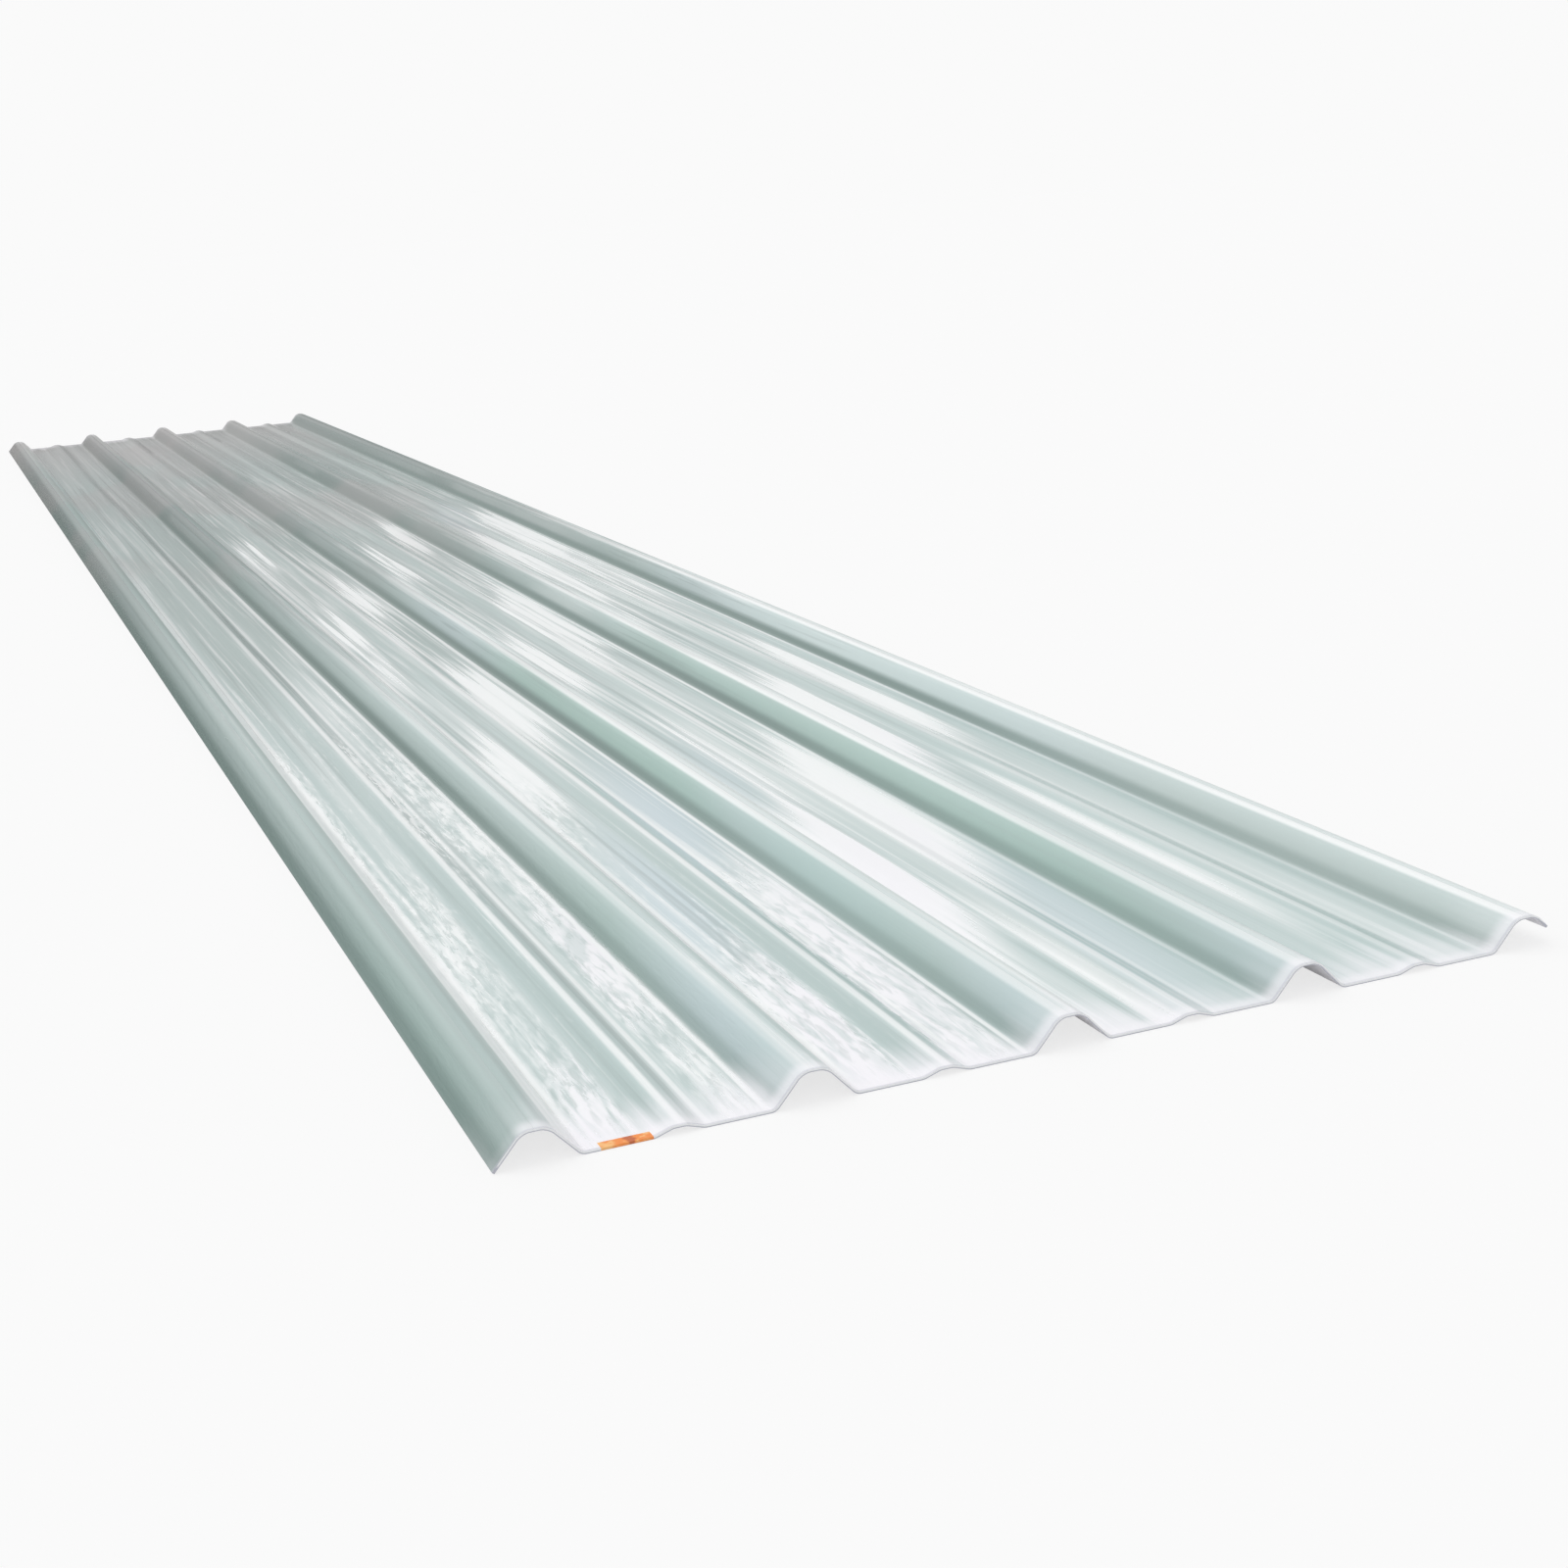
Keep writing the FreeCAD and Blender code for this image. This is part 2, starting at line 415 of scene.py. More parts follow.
def middle_surface(sizes, corners, end_gap):
    """The wall's middle surface: the full leg's strip, extruded from fold to fold and bent round."""
    (tip_x, tip_z, _), (crest_x, crest_z, _) = corners[:2]
    run = math.hypot(crest_x - tip_x, crest_z - tip_z)
    length = SHEET_HIGH.y - SHEET_LOW.y - 2 * end_gap
    piece = laid_plane(
        "laminate_sheet",
        place=((tip_x + crest_x) / 2, 0.0, (tip_z + crest_z) / 2),
        size=(run, length),
        turn=(0.0, -math.atan2(crest_z - tip_z, crest_x - tip_x), 0.0),
    )

    edit()
    select_edges(piece, lambda a, b: runs_along(a, b) and near_any(a, [(crest_x, crest_z)]))
    for before, after in zip(corners[1:], corners[2:]):
        extrude(after[0] - before[0], 0.0, after[1] - before[1])

    for kind, segments in BEND_SEGMENTS.items():
        places = [(x, z) for x, z, bend in corners if bend == kind]
        select_edges(piece, lambda a, b: runs_along(a, b) and near_any(a, places))
        bpy.ops.mesh.bevel(
            offset_type="OFFSET", offset=bend_reach(sizes, kind), segments=segments, profile=0.5,
            affect="EDGES", clamp_overlap=False,
        )
    return piece


def divide(piece):
    """Cuts the flats across and the whole sheet along, so that they can carry waves."""
    for shortest, cuts in CUTS_ACROSS:
        select_edges(piece, lambda a, b: abs(a.y - b.y) < SAME_POINT and (a - b).length > shortest)
        bpy.ops.mesh.subdivide(number_cuts=cuts)
    for cuts in CUTS_ALONG:
        select_edges(piece, runs_along)
        bpy.ops.mesh.subdivide(number_cuts=cuts)
    leave_edit()


def wave_weights(piece, sizes, corners):
    """Vertex groups that say where each kind of wave acts, fading out towards the bends."""
    low = sizes.wall / 2
    top = max(z for _, z, _ in corners)
    crest_fade = sizes.rib_crest / 2 - bend_reach(sizes, "crest") / 2
    feet = [x for x, _, bend in corners if bend == "foot"]
    crests = [(a[0] + b[0]) / 2 for a, b in zip(corners, corners[1:]) if a[2] == b[2] == "crest"]
    pan_waves, crest_waves, flank_waves = (
        piece.vertex_groups.new(name=name) for name in ("pan_waves", "crest_waves", "flank_waves")
    )
    for vertex in piece.data.vertices:
        x, y, z = vertex.co
        if z > top - CREST_BAND:
            from_crest = min(abs(x - crest) for crest in crests)
            crest_waves.add([vertex.index], smooth(1 - from_crest / crest_fade), "REPLACE")
        if not crests[0] < x < crests[-1]:
            continue
        if z < low + sizes.swage_height * SWAGE_HEIGHTS:
            from_foot = min(abs(x - foot) for foot in feet)
            weight = smooth(from_foot / FOOT_FADE) * smooth((SHEET_HIGH.y - abs(y)) / END_FADE)
            pan_waves.add([vertex.index], weight, "REPLACE")
        up_flank = (z - low) / sizes.rib_height
        flank_waves.add([vertex.index], smooth(1 - abs(up_flank - 0.5) / FLANK_SHARE), "REPLACE")


def add_waves(piece, group, direction, strength, still, across, along):
    """Moves a group of points by soft waves of the given spacing. The level called still moves none."""
    texture = bpy.data.textures.new(group, "CLOUDS")
    texture.noise_scale = 1.0
    texture.noise_depth = 1
    bpy.ops.object.empty_add(location=(0.0, 0.0, 0.0))
    grid = bpy.context.object
    grid.scale = (across, along, across)
    bpy.context.view_layer.update()
    modify(
        piece, group, "DISPLACE", texture=texture, texture_coords="OBJECT", texture_coords_object=grid,
        vertex_group=group, direction=direction, strength=strength, mid_level=still,
    )
    bpy.data.objects.remove(grid)
    bpy.data.textures.remove(texture)


def give_wall(piece, sizes):
    """Gives the middle surface its even wall, and rounds its shading at the bends alone."""
    modify(piece, "wall", "SOLIDIFY", thickness=sizes.wall, offset=0.0, use_even_offset=True)
    piece.vertex_groups.clear()
    pick(piece)
    bpy.ops.object.shade_smooth_by_angle(angle=math.radians(30))


# Painting the mesh

def paint(piece, name, strength_at):
    """Writes a strength for each point, as an attribute that the material reads."""
    attribute = piece.data.attributes.new(name, "FLOAT", "POINT")
    for vertex in piece.data.vertices:
        attribute.data[vertex.index].value = strength_at(vertex)


def area_strength(point, middle, half_width, near, far, strength):
    """The strength inside an area, falling to 0 over its soft sides and its long slanting ends."""
    side = smooth((half_width - abs(point.x - middle)) / AREA_SIDES + 0.5)
    if not side:
        return 0.0
    along = point.y - (point.x - middle) * AREA_SLANT
    end = smooth(min(along - near, far - along) / AREA_ENDS + 0.5)
    return strength * side * end


def paint_sheet(piece):
    """Paints each kind of area, and the points of the wall's lower face."""
    for name, areas in AREAS.items():
        paint(piece, name, lambda vertex: max(area_strength(vertex.co, *area) for area in areas))
    paint(piece, "underside", lambda vertex: 1.0 if vertex.normal.z < 0 else 0.0)


# Shaders

class NodeMaker:
    """Adds nodes to one tree. Values are numbers or sockets, and colours are names or sockets."""

    def __init__(self, tree, colours=None):
        self.tree = tree
        self.colours = colours

    def add(self, kind):
        return self.tree.nodes.new(kind)

    def put(self, value, socket):
        """Links a socket to an input, or sets the input to a plain value."""
        if isinstance(value, bpy.types.NodeSocket):
            self.tree.links.new(value, socket)
        else:
            socket.default_value = value

    def put_colour(self, colour, socket):
        if isinstance(colour, str):
            colour = (*getattr(self.colours, colour), 1.0)
        self.put(colour, socket)

    def split(self, vector):
        """The x, y and z of a place or direction."""
        node = self.add("ShaderNodeSeparateXYZ")
        self.tree.links.new(vector, node.inputs[0])
        return node.outputs["X"], node.outputs["Y"], node.outputs["Z"]

    def maths(self, operation, first, second=0.0, clamp=False):
        node = self.add("ShaderNodeMath")
        node.operation = operation
        node.use_clamp = clamp
        self.put(first, node.inputs[0])
        self.put(second, node.inputs[1])
        return node.outputs[0]

    def less(self, value, amount):
        """The value with an amount taken off."""
        return self.maths("SUBTRACT", value, amount)

    def times(self, first, *others):
        """The product of several values."""
        for other in others:
            first = self.maths("MULTIPLY", first, other)
        return first

    def weighted(self, *parts):
        """The sum of values, each times its weight."""
        total = None
        for value, weight in parts:
            part = self.times(value, weight)
            total = part if total is None else self.maths("ADD", total, part)
        return total

    def without(self, mask, share=1.0):
        """1 where the mask is 0, and less by the share where it is 1."""
        return self.less(1.0, self.times(mask, share))

    def step(self, value, start, end, first=0.0, last=1.0):
        """A smooth step from first to last, as the value goes from start to end."""
        node = self.add("ShaderNodeMapRange")
        node.interpolation_type = "SMOOTHSTEP"
        for amount, socket in zip((value, start, end, first, last), node.inputs):
            self.put(amount, socket)
        return node.outputs["Result"]

    def within(self, value, rise, fall):
        """1 inside two smooth steps and 0 outside, with each step's start and end."""
        return self.times(self.step(value, *rise), self.step(value, *fall))

    def line_at(self, value, place, half_width):
        """1 where the value is at the place, fading to 0 at half_width on both sides."""
        off = self.maths("ABSOLUTE", self.less(value, place))
        core = half_width * 0.25
        return self.step(off, half_width, core)

    def mixed(self, factor, first, second):
        """The first value, going over to the second as the factor goes from 0 to 1."""
        node = self.add("ShaderNodeMix")
        self.put(factor, node.inputs[0])
        self.put(first, node.inputs[2])
        self.put(second, node.inputs[3])
        return node.outputs[0]

    def over(self, colour, tint, *masks, share=1.0):
        """The colour with a tint over it, as thick as the masks and the share say."""
        node = self.add("ShaderNodeMix")
        node.data_type = "RGBA"
        self.put(self.times(*masks, share), node.inputs[0])
        self.put_colour(colour, node.inputs[6])
        self.put_colour(tint, node.inputs[7])
        return node.outputs[2]

    def painted(self, name):
        """The strength that is painted on the mesh under this name."""
        node = self.add("ShaderNodeAttribute")
        node.attribute_type = "GEOMETRY"
        node.attribute_name = name
        return node.outputs["Fac"]

    def noise(self, across, along, detail=2.0, bend=0.0, shift=0.0):
        """One layer of noise drawn out along the sheet, with the size of its marks in metres."""
        node = self.add("ShaderNodeGroup")
        node.node_tree = drawn_noise_group()
        for value, socket in zip((across, along, detail, bend, shift), node.inputs):
            self.put(value, socket)
        return node.outputs["Value"]

    def rays(self, *kinds):
        """1 for rays of these kinds."""
        path = self.add("ShaderNodeLightPath")
        seen = 0.0
        for kind in kinds:
            seen = self.maths("MAXIMUM", seen, path.outputs[f"Is {kind} Ray"])
        return seen

    def bump(self, height, depth):
        """Fine relief, where a height of 1 stands out by the depth."""
        node = self.add("ShaderNodeBump")
        node.inputs["Distance"].default_value = depth
        self.put(height, node.inputs["Height"])
        return node.outputs["Normal"]


def drawn_noise_group():
    """Noise drawn out along the sheet. Across and Along are the size of its marks in metres."""
    name = "drawn_noise"
    if name in bpy.data.node_groups:
        return bpy.data.node_groups[name]
    group = bpy.data.node_groups.new(name, "ShaderNodeTree")
    for socket in ("Across", "Along", "Detail", "Bend", "Shift"):
        group.interface.new_socket(socket, in_out="INPUT", socket_type="NodeSocketFloat")
    group.interface.new_socket("Value", in_out="OUTPUT", socket_type="NodeSocketFloat")
    maker = NodeMaker(group)
    given = group.nodes.new("NodeGroupInput")
    result = group.nodes.new("NodeGroupOutput")
    place = group.nodes.new("ShaderNodeTexCoord")
    join = group.nodes.new("ShaderNodeCombineXYZ")
    noise = group.nodes.new("ShaderNodeTexNoise")
    noise.inputs["Scale"].default_value = 1.0
    places = maker.split(place.outputs["Object"])
    for axis, value, size in zip("XYZ", places, ("Across", "Along", "Across")):
        scaled = maker.maths("DIVIDE", value, given.outputs[size])
        maker.put(maker.maths("ADD", scaled, given.outputs["Shift"]), join.inputs[axis])
    group.links.new(join.outputs[0], noise.inputs["Vector"])
    group.links.new(given.outputs["Detail"], noise.inputs["Detail"])
    group.links.new(given.outputs["Bend"], noise.inputs["Distortion"])
    group.links.new(noise.outputs["Fac"], result.inputs["Value"])
    return group


class LaminatePattern(NodeMaker):
    """The laminate's colour, roughness and relief, by where each point lies on the sheet."""

    def __init__(self, tree, sizes, colours):
        super().__init__(tree, colours)
        self.sizes = sizes
        place = self.add("ShaderNodeTexCoord")
        self.x, self.y, self.z = self.split(place.outputs["Object"])
        _, self.facing_y, self.facing_z = self.split(place.outputs["Normal"])

        # Across each pan: 0 on its swage, and half a pitch on the ribs to its left and right
        self.rib = sizes.rib_pitch / 2
        self.foot = self.rib - sizes.rib_crest / 2 - sizes.rib_flank
        self.from_first_rib = self.less(self.x, first_rib_x(sizes))
        in_pan = self.maths("FLOORED_MODULO", self.from_first_rib, sizes.rib_pitch)
        self.in_pan = self.less(in_pan, self.rib)
        self.up_flank = self.less(self.in_pan, self.foot)

        self.streaks = self.noise(across=0.008, along=1.00, detail=3.0, shift=5.0)
        self.broad = self.noise(across=0.024, along=1.80, detail=1.0, shift=2.2)
        self.drift = self.noise(across=0.30, along=0.70, detail=1.0, shift=11.3)
        self.strokes = self.noise(across=0.006, along=0.42, bend=0.2, shift=14.0)
        self.wrinkles = self.noise(across=0.0050, along=0.034, bend=0.5, shift=8.2)
        self.wide_wrinkles = self.noise(across=0.009, along=0.090, bend=0.6, shift=3.7)
        self.mat = self.noise(across=0.004, along=0.007, detail=3.0, bend=0.8, shift=1.3)
        self.dark_streaks = self.step(self.streaks, 0.46, 0.32)
        self.pale_streaks = self.step(self.streaks, 0.54, 0.68)
        self.dark_strokes = self.step(self.strokes, 0.46, 0.34)
        self.pale_strokes = self.step(self.strokes, 0.52, 0.64)

        # The left pans are wrinkled towards the near end, where the right pans show their lines least
        left_pans = self.step(self.x, -0.01, -0.06)
        self.wrinkled = self.times(left_pans, self.step(self.slanting(4.0), -2.30, -2.85))
        smoother = self.times(self.step(self.x, 0.06, 0.16), self.step(self.y, -1.7, -2.3))
        self.lined = self.without(smoother, 0.65)
        self.near_half = self.step(self.y, 0.9, -0.8)
        middle_part = self.within(self.y, (-2.0, -1.0), (2.2, 0.8))
        self.stroked = self.times(middle_part, self.step(self.x, -0.30, -0.12, first=0.35))

        self.on_crest = self.step(self.z, sizes.rib_height * 0.78, sizes.rib_height * 0.94)
        self.right_of_crest = self.step(self.in_pan, -0.050, -0.060)
        past_foot = self.step(self.in_pan, -self.foot + 0.002, -self.foot - 0.003)
        self.right_flank = self.times(past_foot, self.step(self.z, 0.024, 0.019))
        self.last_rib = self.step(self.x, 0.30, 0.40)
        self.outer_leg = self.step(self.from_first_rib, -0.006, -0.016)
        self.milk_and_sheen = self.painted("milk_and_sheen")
        self.white = self.milk_and_sheen_white()

    def slanting(self, slant):
        """How far along the sheet, moved by how far across it times the slant."""
        return self.maths("ADD", self.y, self.times(self.x, slant))

    def milk_and_sheen_white(self):
        """The milky areas with painted sheen, from the mesh, with ends that break up into strands, or short
        wrinkles.
        """
        strands = self.times(self.less(self.streaks, 0.5), self.lined)
        strokes = self.times(self.less(self.strokes, 0.5), self.step(self.y, -2.6, -1.2, first=0.4))
        wrinkles = self.times(self.less(self.wrinkles, 0.47), self.wrinkled)
        broken = self.weighted((self.milk_and_sheen, 1.0), (strands, 1.2), (strokes, 1.5), (wrinkles, 1.1))
        return self.times(self.step(broken, 0.08, 0.98), 0.97)

    def lay(self, tint, *masks, share=1.0):
        """Lays a tint over the colour so far."""
        self.so_far = self.over(self.so_far, tint, *masks, share=share)

    def pans(self):
        """Tinted resin greyed further off by painted shade; strands, strokes, milky white with painted
        sheen, wrinkles.
        """
        pale = self.step(self.broad, 0.36, 0.68, first=0.02, last=0.34)
        far_off = self.step(self.slanting(-1.8), -1.3, 1.2, last=0.56)
        more_at_right = self.step(self.x, 0.0, 0.3, first=1.0, last=1.3)
        self.so_far = self.over("resin", "glass_and_highlight", pale)
        # Painted shade: greyer further off, more so at the right
        self.lay("strand_and_shade", far_off, more_at_right)
        self.lay("deep_resin_and_shade", self.painted("green"), share=0.85)
        self.lay("blue_tint", self.painted("blue"), share=0.75)

        darker_far_off = self.step(self.y, -0.2, 1.0, first=0.30, last=0.50)
        paler_near = self.step(self.y, 1.6, -0.2, first=0.20, last=0.50)
        # Painted shade: dark streaks show more further off, pale ones more nearby
        self.lay("shade", self.dark_streaks, self.lined, darker_far_off)
        self.lay("glass_and_highlight", self.pale_streaks, self.lined, paler_near)
        self.lay("glass_and_highlight", self.pale_strokes, self.stroked, share=0.42)

        white_tint = self.over("glass_and_highlight", "lilac", self.painted("lilac"))
        in_milk_and_sheen = self.times(self.step(self.milk_and_sheen, 0.10, 0.50), self.wrinkled)
        # Milky white with painted sheen
        self.lay(white_tint, self.white)
        self.lay("strand_and_shade", self.dark_strokes, self.stroked, share=0.40)
        self.lay("strand_and_shade", self.step(self.wrinkles, 0.52, 0.36), in_milk_and_sheen, share=0.28)
        self.lay("resin", self.step(self.wide_wrinkles, 0.56, 0.38), in_milk_and_sheen, share=0.46)

    def fold_shade_and_highlights(self):
        """Painted shade on each swage's left flank; painted highlight lines on its top and the pan's folds.
        """
        edge = self.sizes.swage_crest / 2 + self.sizes.swage_flank
        left_flank = self.within(self.in_pan, (-edge - 0.004, -edge + 0.002), (-0.003, -0.007))
        greyer_far_off = self.step(self.y, -1.5, -0.6, first=0.34, last=0.58)
        # Painted shade on the swage's left flank
        self.lay("strand_and_shade", left_flank, self.lined, greyer_far_off)
        fade = self.times(self.near_half, self.step(self.drift, 0.30, 0.52, first=0.55))
        # Painted highlights along the swage and the ribs' feet
        for place, half_width, share in (
            (0.002, 0.0055, 0.75), (edge + 0.003, 0.0035, 0.65),
            (self.foot - 0.0055, 0.0035, 0.90), (-self.foot + 0.003, 0.0065, 0.75),
        ):
            line = self.line_at(self.in_pan, place, half_width)
            self.lay("glass_and_highlight", line, fade, self.lined, share=share)

    def shaded_left_flanks(self):
        """Painted shade on the ribs' left sides: deep low down, thinning out up to the middle of the crest.
        """
        flank = self.over("deep_resin_and_shade", "upper_flank_shade", self.step(self.up_flank, 0.004, 0.020))
        flank = self.over(flank, "resin", self.step(self.up_flank, 0.017, 0.027), share=0.8)
        flank = self.over(flank, "green_tint", self.painted("green"), share=0.50)
        flank = self.over(flank, "blue_tint", self.painted("blue"), share=0.50)
        flank = self.over(flank, "strand_and_shade", self.dark_streaks, share=0.15)

        far_off = self.step(self.y, -1.4, 0.9)
        less_high_up = self.step(self.up_flank, 0.002, 0.026, first=1.00, last=0.66)
        right_ribs = self.step(self.x, -0.05, 0.20)
        # Painted shade, deeper further off and low on the flank, and more on the right ribs
        flank = self.over(flank, "shade", far_off, less_high_up)
        flank = self.over(flank, "foot_shade", far_off, right_ribs, share=0.50)
        # Painted light on the last rib's near part
        flank = self.over(flank, "glass_and_highlight", self.last_rib, self.step(self.y, -0.6, -1.3), share=0.20)
        left_side = self.within(
            self.in_pan, (self.foot - 0.003, self.foot + 0.001), (self.rib - 0.001, self.rib - 0.007)
        )
        self.lay(flank, left_side)

    def crest_highlights(self):
        """Painted highlights: pale right flanks, and a pale line along each crest, brightest in the near
        half.
        """
        self.lay("glass_and_highlight", self.right_flank, self.near_half, share=0.75)
        line = self.within(
            self.in_pan, (self.rib - 0.0115, self.rib - 0.0075), (self.rib + 0.001, self.rib - 0.002)
        )
        pale = self.weighted((line, 0.85), (self.right_of_crest, 0.45))
        more_at_right = self.step(self.x, -0.46, 0.06, first=0.10)
        near_end = self.times(self.step(self.y, -2.0, -2.6), self.without(self.last_rib))
        less_near_end = self.without(near_end, 0.36)
        reach = self.step(self.slanting(-1.6), 0.4, -1.6)
        self.lay("glass_and_highlight", pale, self.on_crest, more_at_right, less_near_end, reach)

    def rib_strokes(self):
        """Strokes and long paler and darker stretches on the ribs, in the sheet's middle part."""
        on_rib = self.step(self.z, 0.006, 0.014)
        dark_stretch = self.step(self.drift, 0.50, 0.66)
        pale_stretch = self.step(self.drift, 0.46, 0.32)
        for tint, marks, part, share in (
            ("glass_and_highlight", self.pale_strokes, self.on_crest, 0.34), ("shade", self.dark_strokes, on_rib, 0.32),
            ("shade", dark_stretch, on_rib, 0.24), ("glass_and_highlight", pale_stretch, on_rib, 0.16),
        ):
            self.lay(tint, marks, self.stroked, part, share=share)

    def crest_shade(self):
        """Painted shade on crests, darker further off and least in the middle, and a darker first crest."""
        far_off = self.step(self.slanting(-1.4), -1.4, 0.9)
        left_ribs = self.step(self.x, -0.12, -0.20)
        depth = self.maths("ADD", self.weighted((self.last_rib, 0.30), (left_ribs, 0.18)), 0.66)
        self.lay("shade", self.on_crest, far_off, depth)
        first_rib = self.step(self.x, -0.36, -0.40)
        self.lay("deep_resin_and_shade", self.on_crest, first_rib, share=0.55)

    def foot_and_leg_shade(self):
        """Painted shade on the outer leg and in the ribs' left feet."""
        low_on_leg = self.step(self.up_flank, 0.014, 0.003, first=0.22, last=0.56)
        self.lay("foot_shade", self.outer_leg, low_on_leg)
        in_foot = self.within(self.up_flank, (-0.0040, -0.0010), (0.0100, 0.0035))
        less_near_end = self.step(self.y, -2.75, -1.50, first=0.34, last=0.95)
        self.lay("foot_shade", in_foot, less_near_end)

    def far_half(self):
        """Warm patches in the far half, and painted shade, a plain grey, towards the far end."""
        patches = self.step(self.drift, 0.47, 0.60)
        self.lay("warm_grey", patches, self.step(self.y, -0.8, 0.8), share=0.32)
        less_at_edge = self.step(self.x, 0.36, 0.41, first=0.50, last=0.10)
        self.lay("far_end_shade", self.step(self.y, 1.4, 2.7), less_at_edge)

    def by_the_ends(self):
        """Painted light by the sawn ends, where light comes in, and on the underside. Arrises get painted
        shade.
        """
        end = SHEET_HIGH.y
        along = self.maths("ABSOLUTE", self.y)
        ragged = self.weighted((along, 1.0), (self.broad, 0.12), (self.streaks, 0.10))
        by_end = self.step(ragged, end + 0.02, end + 0.11)
        low_down = self.step(self.z, 0.010, 0.003, first=0.30, last=0.88)
        more_at_left = self.step(self.x, -0.02, 0.12, first=1.0, last=0.64)
        left_of_swage = self.step(self.in_pan, 0.0, 0.02, first=1.0, last=0.72)
        inner = self.without(self.outer_leg, 0.8)
        # Painted light by the sawn ends
        self.lay("lilac", by_end, low_down, more_at_left, left_of_swage, inner)
        self.lay("lilac", self.step(along, end - 0.022, end - 0.006), inner, share=0.55)
        # Painted light shining through the underside
        self.lay("lilac", self.step(self.facing_z, 0.0, -0.2), share=0.85)
        # Painted shade along the arrises
        arris = self.step(along, end - 0.0040, end - 0.0015)
        self.lay("edge_shade", arris, share=0.50)

    def sawn_ends(self):
        """White sawn ends, pale fibres with a painted highlight, in painted shade towards the underside."""
        lower = self.step(self.painted("underside"), 0.45, 0.75)
        cut = self.over("cut_edge", "edge_shade", lower)
        facing_out = self.step(self.maths("ABSOLUTE", self.facing_y), 0.6, 0.9)
        self.lay(cut, facing_out)

    def colour(self):
        """The pans' colour, with every other layer over it."""
        self.pans()
        self.fold_shade_and_highlights()
        self.shaded_left_flanks()
        self.crest_highlights()
        self.rib_strokes()
        self.crest_shade()
        self.foot_and_leg_shade()
        self.far_half()
        self.by_the_ends()
        self.sawn_ends()
        return self.so_far

    def roughness(self):
        """A glossy film, duller on white places, right flanks and the right of the crests."""
        crest_side = self.times(self.on_crest, self.right_of_crest)
        whitest = self.step(self.white, 0.25, 1.0)
        return self.weighted(
            (self.broad, 0.16), (self.mat, 0.14), (crest_side, 0.30),
            (self.right_flank, 0.45), (whitest, 0.22),
        )

    def relief(self):
        """Strands, wrinkles and a trace of the glass mat, which show through the film."""
        wrinkles = self.times(self.wrinkles, self.wrinkled)
        height = self.weighted((self.streaks, 0.7), (wrinkles, 0.5), (self.mat, 0.04))
        return self.bump(height, depth=0.0005)


def new_material(name):
    """An empty node material with its output and Principled shader."""
    material = bpy.data.materials.new(name)
    material.use_nodes = True
    tree = material.node_tree
    tree.nodes.clear()
    output = tree.nodes.new("ShaderNodeOutputMaterial")
    shader = tree.nodes.new("ShaderNodeBsdfPrincipled")
    tree.links.new(shader.outputs["BSDF"], output.inputs["Surface"])
    return material, tree, shader


def laminate_material(sizes, colours):
    """Translucent glass-fibre laminate: tinted resin with milky areas, long strands and a glossy film."""
    material, tree, shader = new_material("fibreglass_laminate")
    pattern = LaminatePattern(tree, sizes, colours)
    # The colour carries painted shade, painted highlights and painted sheen on the milky areas
    tree.links.new(pattern.colour(), shader.inputs["Base Color"])
    tree.links.new(pattern.roughness(), shader.inputs["Roughness"])
    tree.links.new(pattern.relief(), shader.inputs["Normal"])
    for name, value in (
        ("IOR", 1.50), ("Transmission Weight", 0.06), ("Coat Weight", 0.15), ("Coat Roughness", 0.06)
    ):
        shader.inputs[name].default_value = value
    return material


def paper_material(colours):
    """Plain orange sticker paper with a darker block in its middle and faded ends."""
    material, tree, shader = new_material("orange_paper")
    maker = NodeMaker(tree, colours)
    place = tree.nodes.new("ShaderNodeTexCoord")
    x, _, _ = maker.split(place.outputs["Object"])
    from_block = maker.maths("ABSOLUTE", maker.less(x, STICKER_CENTRE + BLOCK_SHIFT))
    fibres = maker.noise(across=0.0012, along=0.0012, detail=4.0)
    worn = maker.noise(across=0.0060, along=0.0040, detail=3.0, shift=3.1)
    ragged = maker.weighted((from_block, 1.0), (worn, 0.010))
    block = maker.step(ragged, STICKER_WIDTH * 0.24, STICKER_WIDTH * 0.18)
    faded = maker.step(maker.weighted((from_block, 12.0), (worn, 1.0)), 0.60, 0.80)
    colour = maker.over("sticker", "sticker_block", block, share=0.85)
    colour = maker.over(colour, "sticker_faded", faded, share=0.7)
    colour = maker.over(colour, "sticker_faded", fibres, share=0.15)
    tree.links.new(colour, shader.inputs["Base Color"])
    tree.links.new(maker.bump(fibres, depth=0.0001), shader.inputs["Normal"])
    shader.inputs["Roughness"].default_value = 0.55
    return material


